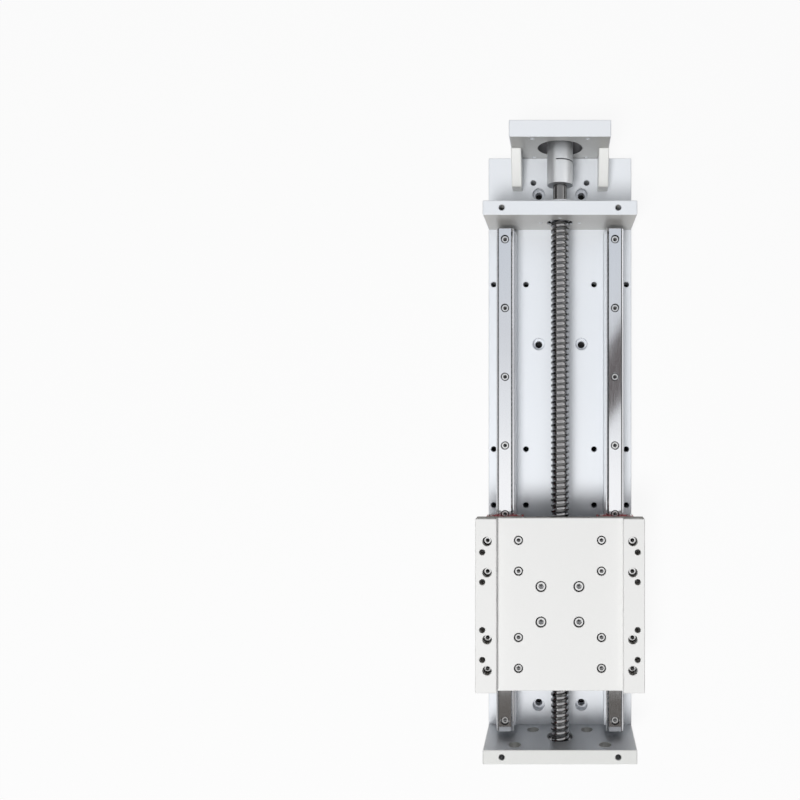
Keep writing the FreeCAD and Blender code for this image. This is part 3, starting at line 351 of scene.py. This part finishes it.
def addPiece(name, points, faces, slot, body, replaced, shade, smoothAngle):
    mesh = bpy.data.meshes.new(name)
    mesh.from_pydata(points.tolist(), [], faces)
    mesh.update()
    mesh.shade_smooth()
    mesh.set_sharp_from_angle(angle=math.radians(smoothAngle))
    tones = mesh.attributes.new("shade", "FLOAT", "POINT")
    tones.data.foreach_set("value", np.ascontiguousarray(shade, np.float32))
    piece = bpy.data.objects.new(name, mesh)
    bpy.context.collection.objects.link(piece)
    mesh.materials.append(materials[finishOf[slot]])
    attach(piece, body)
    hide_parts(*replaced)
    print(name, len(mesh.polygons), "faces")


def boxInMm(node):
    return [np.array(corner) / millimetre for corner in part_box(node)]


def gridFaces(rows, columns):
    # quads between neighbouring rows of a grid that closes on itself from the last column to the first
    i, j = np.meshgrid(np.arange(rows - 1), np.arange(columns), indexing="ij")
    here, beside = i * columns + j, i * columns + (j + 1) % columns
    return np.stack([here, beside, beside + columns, here + columns], axis=-1).reshape(-1, 4)


# ball screw: the rolled thread, and the turned journals at its idle end and its drive end

ballScrew = dict(
    lead=5.0, radius=8.0, grooveDepth=1.15,  # mm
    grooveWidth=0.70, shoulder=0.05,  # shares of one lead
    turnSteps=44, grooveSteps=9, roundSteps=48, spareTurns=2, smoothAngle=40,
    # landShade is partly the lands' own as-rolled black and partly painted shade; grooveShade and
    # journalShade are painted shade
    landShade=1.0, grooveShade=0.7, grooveFade=6, journalShade=0.8,
    # (place along the axis, radius)
    journals=[(-236.5, 4.5), (-236.0, 5.0), (-226.5, 5.0), (-226.5, 7.0)],
    driveEnd=[(226.5, 7.0), (226.5, 6.0), (257.3, 6.0), (257.3, 5.0), (275.5, 5.0), (276.0, 4.5)],
)


def turnedPoints(profile, steps, height):
    # a profile of (place along the axis, radius) carried round the screw's axis
    angle = np.arange(steps) * 2 * np.pi / steps
    place, radius = np.array(profile).T
    points = np.empty((len(profile), steps, 3))
    points[..., 0] = radius[:, None] * np.cos(angle)
    points[..., 1] = place[:, None]
    points[..., 2] = height + radius[:, None] * np.sin(angle)
    return points.reshape(-1, 3)


def makeBallScrew(shape):
    low, high = boxInMm("ball_screw")
    height = (low[2] + high[2]) / 2
    start, end = shape["journals"][-1][0], shape["driveEnd"][0][0]

    # the rolled length follows the thread: u runs round the helix, v across one lead from ridge to ridge
    # radius(v) = outer radius less depth * sqrt(1 - s^2), with s from -1 to 1 over the rounded groove
    edge = (1 - shape["grooveWidth"]) / 2
    inside = np.cos(np.linspace(np.pi, 0, shape["grooveSteps"]))
    v = np.concatenate([[0], 0.5 + inside * shape["grooveWidth"] / 2, [1 - edge + shape["shoulder"]]])
    depth = np.concatenate([[0], shape["grooveDepth"] * np.sqrt(np.clip(1 - inside ** 2, 0, 1)), [0]])
    # painted shade on the groove's steep walls, and on the lands partly their own as-rolled black
    land, wall = [shape["landShade"]], np.abs(inside) ** shape["grooveFade"] * shape["grooveShade"]
    tones = np.concatenate([land, wall, land])
    turns = int(np.ceil((end - start) / shape["lead"])) + shape["spareTurns"]
    steps = shape["turnSteps"]
    u = np.arange(turns * steps + 1)
    angle = u * 2 * np.pi / steps
    place = start - shape["lead"] + shape["lead"] * (angle[:, None] / (2 * np.pi) + v[None, :])
    radius = np.broadcast_to(shape["radius"] - depth, place.shape)
    thread = np.empty(place.shape + (3,))
    thread[..., 0] = radius * np.sin(angle)[:, None]
    thread[..., 1] = np.clip(place, start, end)
    thread[..., 2] = height + radius * np.cos(angle)[:, None]
    thread = thread.reshape(-1, 3)

    # each turn's last row joins the first row of the next turn, and what lies past the ends is left out
    count = len(v)
    i, j = np.meshgrid(np.arange(len(u) - 1), np.arange(count), indexing="ij")
    here = i * count + j
    there = np.where(j == count - 1, (i + steps) * count, here + 1)
    quads = np.stack([here, there, there + count, here + count], axis=-1).reshape(-1, 4)
    quads = quads[(quads < len(thread)).all(axis=1)]
    places = thread[:, 1][quads]
    quads = quads[~((places <= start).all(axis=1) | (places >= end).all(axis=1))]

    steps = shape["roundSteps"]
    parts, faces, total = [thread], [quads], len(thread)
    for profile in (shape["journals"], shape["driveEnd"]):
        faces.append(gridFaces(len(profile), steps)[:, ::-1] + total)
        parts.append(turnedPoints(profile, steps, height))
        total += len(parts[-1])
    firstCap = list(range(len(thread), len(thread) + steps))
    lastCap = list(range(total - steps, total))[::-1]
    allPoints = np.concatenate(parts) * millimetre
    allFaces = np.concatenate(faces).tolist() + [firstCap, lastCap]
    # the journals get painted shade
    shade = np.full(total, shape["journalShade"])
    shade[:len(thread)] = np.tile(tones, len(u))
    addPiece("ballScrewThread", allPoints, allFaces, "screw_steel", "screw", ["ball_screw"], shade,
             shape["smoothAngle"])


makeBallScrew(ballScrew)


# socket head screws with a bevelled rim, a hexagon socket and a coned socket floor

socketHead = dict(
    steps=36, smoothAngle=30, keyTurn=0.61,  # each key stands at its own angle, in radians
    pole=0.02,  # mm, radius of the first and the last ring
    cone=0.9, mouthWide=0.15, mouthDeep=0.12, tip=0.5,  # mm
    eased=0.15,  # share of the bevel
    # these shades are painted shade, in the socket and round the rim
    coneShade=0.9, socketShade=0.7, mouthShade=0.6, rimShade=0.75,
)
# flank is painted shade on a head's side, seen as a ring in its counterbore
screwKinds = {
    "m4": dict(thread=4.0, head=7.0, headHeight=4.0, key=3.0, keyDepth=2.0, bevel=0.75, grow=0, flank=1),
    "m5": dict(thread=5.0, head=8.5, headHeight=5.0, key=4.0, keyDepth=2.5, bevel=0.8, grow=0, flank=1),
}
# the gusset screws' heads grow to lie flush in the motor plate's sides, with less painted shade on the flank,
# so that it looks as pale as the plate
screwKinds["m5Flush"] = dict(screwKinds["m5"], grow=0.23, flank=0.3)

# places across and along are (count, inset): even places, or two pairs with their inner places at an inset
screwRows = {
    "railScrews.left": dict(node="rail_screws_left", kind="m4", body="base", across=(1, 0), along=(8, 0)),
    "railScrews.right": dict(node="rail_screws_right", kind="m4", body="base", across=(1, 0), along=(8, 0)),
    "carriageScrews.inner": dict(
        node="carriage_screws_inner", kind="m4", body="table", across=(2, 0), along=(4, 26.0)),
    "carriageScrews.outer": dict(
        node="carriage_screws_outer", kind="m4", body="table", across=(2, 0), along=(4, 26.0)),
    "nutBracketScrews": dict(node="nut_bracket_screws", kind="m5", body="table", across=(2, 0), along=(2, 0)),
    "motorPlateScrews": dict(
        node="motor_plate_screws", kind="m5", body="base", across=(4, 19.0), along=(1, 0), outward=True),
    "gussetPlateScrews": dict(
        node="gusset_plate_screws", kind="m5Flush", body="base", across=(2, 0), along=(1, 0), outward=True),
}


def socketScrew(kind, length):
    # rings from the socket's floor out over the rim and down to the shank's tip
    # a point is (radius * cos a, radius * sin a, height)
    # a hexagon's radius is that of its flats divided by cos of the angle from the nearest flat's middle
    # a ring is (radius, height, hexagonal, shade), where shade is painted shade
    shape, steps = socketHead, socketHead["steps"]
    top, bevel, flank = kind["headHeight"], kind["bevel"], kind["flank"]
    half, key, shank = kind["head"] / 2 + kind["grow"], kind["key"] / 2, kind["thread"] / 2
    floor = top - kind["keyDepth"]
    eased = bevel * shape["eased"]
    rings = [
        (shape["pole"], floor - shape["cone"], False, shape["coneShade"]),
        (key, floor, True, shape["socketShade"]),
        (key, top - shape["mouthDeep"], True, shape["mouthShade"]),
        (key + shape["mouthWide"], top, True, 0),
        (half - bevel, top, False, 0),
        (half - bevel + eased, top - eased, False, shape["rimShade"]),
        (half, top - bevel, False, flank),
        (half, 0, False, flank),
        (shank, 0, False, 1),
        (shank, shape["tip"] - length, False, 0),
        (shank - shape["tip"], -length, False, 0),
        (shape["pole"], -length, False, 0),
    ]
    radius, height, hexagonal, shade = [np.array(column)[:, None] for column in zip(*rings)]
    angle = np.arange(steps) * 2 * np.pi / steps
    sixth = np.pi / 3
    radius = radius * np.where(hexagonal, 1 / np.cos((angle + sixth / 2) % sixth - sixth / 2), 1)
    height = np.broadcast_to(height, radius.shape)
    points = np.stack([radius * np.cos(angle), radius * np.sin(angle), height], axis=-1)
    return points.reshape(-1, 3), gridFaces(len(rings), steps)[:, ::-1], np.repeat(shade, steps)


def spots(low, high, count, inset):
    # even places from low to high, or two pairs
    return np.array([low, low + inset, high - inset, high]) if inset else np.linspace(low, high, count)


def makeScrewRow(name, row):
    # heads face up, or outward along the slide
    # an outward row is made upright and laid down, (x, y, z) to (x, z, -y)
    kind, outward = screwKinds[row["kind"]], row.get("outward", False)
    low, high = [corner[[0, 2, 1]] if outward else corner for corner in boxInMm(row["node"])]
    points, faces, shade = socketScrew(kind, high[2] - low[2] - kind["headHeight"])

    # the node's box reaches half a head past the outer places
    half, seat = kind["head"] / 2, high[2] - kind["headHeight"]
    spotsX = spots(low[0] + half, high[0] - half, *row["across"])
    spotsY = spots(low[1] + half, high[1] - half, *row["along"]) * (-1 if outward else 1)
    places = np.array([(x, y, seat) for x in spotsX for y in spotsY])
    turn = np.arange(len(places))[:, None] * socketHead["keyTurn"]
    x, y, z = points.T
    spun = np.stack([
        x * np.cos(turn) - y * np.sin(turn),
        x * np.sin(turn) + y * np.cos(turn),
        np.tile(z, (len(places), 1)),
    ], axis=-1)
    allPoints = (spun + places[:, None, :]).reshape(-1, 3) * millimetre
    if outward:
        allPoints = allPoints[:, [0, 2, 1]] * (1, 1, -1)
    allFaces = (faces[None] + np.arange(len(places))[:, None, None] * len(points)).reshape(-1, 4).tolist()
    addPiece(name, allPoints, allFaces, "fastener_steel", row["body"], [row["node"]],
             np.tile(shade, len(places)), socketHead["smoothAngle"])


for name, row in screwRows.items():
    makeScrewRow(name, row)
print("screws replaced")


# floor and world

studio = dict(
    floorSize=12.0, floorDrop=0.0004, floorColour=(0.60, 0.60, 0.60), floorWhite=0.92,
    # the colour under the base is a near-black painted shade
    floorRough=0.9, floorGloss=0.1, underBaseShade=(0.03, 0.03, 0.03), world=0.05,
)


def seenDirectly(tree):
    # 1 for what the camera sees, straight or by way of metal and glass
    path = tree.nodes.new("ShaderNodeLightPath").outputs
    seen = mathNode(tree, "MAXIMUM", path["Is Camera Ray"], path["Is Glossy Ray"])
    return mathNode(tree, "MAXIMUM", seen, path["Is Transmission Ray"])


def mixWhite(tree, share, plain, white, output):
    mix = tree.nodes.new("ShaderNodeMixShader")
    for source, socket in zip((share, plain.outputs[0], white.outputs[0]), mix.inputs):
        tree.links.new(source, socket)
    tree.links.new(mix.outputs[0], tree.nodes[output].inputs["Surface"])


def floorMaterial(name, colour):
    material = bpy.data.materials.new(name)
    material.use_nodes = True
    shader = material.node_tree.nodes["Principled BSDF"]
    shader.inputs["Base Color"].default_value = opaque(colour)
    shader.inputs["Roughness"].default_value = studio["floorRough"]
    shader.inputs["Specular IOR Level"].default_value = studio["floorGloss"]
    return material


def makeFloor():
    # a flat grid of nine fields, with its inner lines at the base's sides
    half = studio["floorSize"] / 2
    low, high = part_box("base_plate")
    z = cadBox[0][2] - studio["floorDrop"]
    linesX, linesY = [(-half, low[k], high[k], half) for k in (0, 1)]
    points = [(x, y, z) for y in linesY for x in linesX]
    corners = [row * len(linesX) + column for row in range(3) for column in range(3)]
    faces = [(k, k + 1, k + 1 + len(linesX), k + len(linesX)) for k in corners]
    mesh = bpy.data.meshes.new("floor")
    mesh.from_pydata(points, [], faces)
    floor = bpy.data.objects.new("floor", mesh)
    bpy.context.collection.objects.link(floor)

    pale = floorMaterial("paleFloor", studio["floorColour"])
    tree = pale.node_tree
    share = mathNode(tree, "MULTIPLY", seenDirectly(tree), studio["floorWhite"])
    white = tree.nodes.new("ShaderNodeEmission")
    mixWhite(tree, share, tree.nodes["Principled BSDF"], white, "Material Output")
    mesh.materials.append(pale)
    mesh.materials.append(floorMaterial("paintedShadeFloor", studio["underBaseShade"]))
    mesh.polygons[len(faces) // 2].material_index = 1  # the field under the base gets no white of its own, and its near-black colour is painted shade that shows through the base's holes


def makeWorld():
    world = bpy.data.worlds.new("studio")
    bpy.context.scene.world = world
    world.use_nodes = True
    tree = world.node_tree
    plain = tree.nodes["Background"]
    white = tree.nodes.new("ShaderNodeBackground")
    for background, strength in ((plain, studio["world"]), (white, 1)):
        background.inputs["Color"].default_value = (1, 1, 1, 1)
        background.inputs["Strength"].default_value = strength
    mixWhite(tree, seenDirectly(tree), plain, white, "World Output")


makeFloor()
makeWorld()
print("floor and world set")


# cards that only gloss sees: a ceiling of many tones, boards beside and above, and bright strips
# a tone is (place along the ceiling in m, colour)

ceiling = dict(
    height=0.95, halfWidth=0.5, ends=(-0.80, 0.80),
    tones=[
        (-0.63, (0.95, 0.95, 0.95)), (-0.605, (0.11, 0.10, 0.09)), (-0.505, (0.11, 0.10, 0.09)),
        (-0.48, (1.08, 1.08, 1.08)), (-0.08, (1.08, 1.08, 1.08)), (0.07, (0.90, 0.92, 0.94)),
        (0.20, (0.76, 0.78, 0.81)), (0.42, (0.67, 0.71, 0.76)), (0.47, (0.67, 0.71, 0.76)),
        (0.52, (1.0, 1.0, 1.0))],
)
boards = {
    "boardLeft": dict(colour=(0.02, 0.02, 0.02), corners=[
        (-0.5, -0.7, 0.0), (-0.5, 0.42, 0.0), (-0.5, 0.42, 0.49), (-0.5, -0.7, 0.49)]),
    "boardLeftFar": dict(colour=(0.45, 0.45, 0.46), corners=[
        (-0.5, 0.42, 0.0), (-0.5, 1.2, 0.0), (-0.5, 1.2, 0.49), (-0.5, 0.42, 0.49)]),
    "boardRight": dict(colour=(0.04, 0.04, 0.04), corners=[
        (0.5, -0.7, 0.0), (0.5, 0.8, 0.0), (0.5, 0.8, 0.20), (0.5, -0.7, 0.20)]),
    "boardAbove": dict(colour=(0.13, 0.115, 0.115), corners=[
        (0.06, -0.005, 0.949), (0.17, 0.135, 0.949), (0.17, 0.306, 0.949), (0.06, 0.142, 0.949)]),
    "stripLeft": dict(colour=(2.2, 2.2, 2.2), corners=[
        (-0.88, -0.8, 0.95), (-0.74, -0.8, 0.95), (-0.74, 0.8, 0.95), (-0.88, 0.8, 0.95)]),
    "stripRight": dict(colour=(1.7, 1.7, 1.7), corners=[
        (0.5, 0.2, 0.21), (0.5, 0.8, 0.21), (0.5, 0.8, 0.42), (0.5, 0.2, 0.42)]),
}


def makeCard(name, corners, colour):
    # colour is a plain colour, or a function that makes one in the card's tree
    mesh = bpy.data.meshes.new(name)
    mesh.from_pydata(corners, [], [(0, 1, 2, 3)])
    card = bpy.data.objects.new(name, mesh)
    bpy.context.collection.objects.link(card)
    material = bpy.data.materials.new(name)
    material.use_nodes = True
    tree = material.node_tree
    tree.nodes.remove(tree.nodes["Principled BSDF"])
    glow = tree.nodes.new("ShaderNodeEmission")
    tree.links.new(glow.outputs[0], tree.nodes["Material Output"].inputs["Surface"])
    feed(tree, colour(tree) if callable(colour) else opaque(colour), glow.inputs["Color"])
    mesh.materials.append(material)
    card.visible_camera = card.visible_diffuse = card.visible_shadow = False


def ceilingTones(tree):
    near, far = ceiling["ends"]
    place = tree.nodes.new("ShaderNodeSeparateXYZ")
    feed(tree, objectPlace(tree), place.inputs[0])
    ramp = tree.nodes.new("ShaderNodeValToRGB")
    feed(tree, rangeNode(tree, place.outputs["Y"], (near, far)), ramp.inputs[0])
    stops = ramp.color_ramp.elements
    while len(stops) < len(ceiling["tones"]):
        stops.new(0.5)
    for stop, (spot, tone) in zip(stops, ceiling["tones"]):
        stop.position = (spot - near) / (far - near)
        stop.color = opaque(tone)
    return ramp.outputs[0]


def makeCards():
    near, far = ceiling["ends"]
    wide, tall = ceiling["halfWidth"], ceiling["height"]
    makeCard("ceiling", [(-wide, near, tall), (wide, near, tall), (wide, far, tall), (-wide, far, tall)],
             ceilingTones)
    for name, board in boards.items():
        makeCard(name, **board)


# lamp and camera

softBox = dict(place=(-0.36, -0.72, 2.14), aim=(0, 0, 0), width=0.7, depth=0.8, power=55.5)
view = dict(
    frameSize=800, middleRow=414, pixelsPerMm=1.098,  # scale on the base's top
    height=0.70, axisAlong=0.0575, clipStart=0.01,
    shift=-0.20,  # the slide stands right of the frame's middle
)


def makeLamp():
    light = bpy.data.lights.new("softBoxTop", "AREA")
    light.shape = "RECTANGLE"
    light.size, light.size_y = softBox["width"], softBox["depth"]
    light.energy = softBox["power"]
    lamp = bpy.data.objects.new("softBoxTop", light)
    lamp.location = softBox["place"]
    beam = Vector(softBox["aim"]) - Vector(softBox["place"])
    lamp.rotation_euler = beam.to_track_quat("-Z", "Y").to_euler()
    bpy.context.collection.objects.link(lamp)
    lamp.visible_glossy = False  # gloss shows the cards and the white round them


def makeCamera():
    # the camera stands straight above the slide's middle line
    data = bpy.data.cameras.new("camera")
    camera = bpy.data.objects.new("camera", data)
    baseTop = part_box("base_plate")[1][2]
    focal = view["pixelsPerMm"] / millimetre * view["height"] / view["frameSize"]
    data.lens = focal * data.sensor_width
    data.shift_x = view["shift"]
    data.shift_y = view["middleRow"] / view["frameSize"] - 0.5
    data.clip_start = view["clipStart"]
    camera.location = (0, view["axisAlong"], baseTop + view["height"])
    bpy.context.collection.objects.link(camera)
    bpy.context.scene.camera = camera


makeCards()
makeLamp()
makeCamera()
bpy.context.scene.view_settings.view_transform = "Standard"
print("camera and light set")
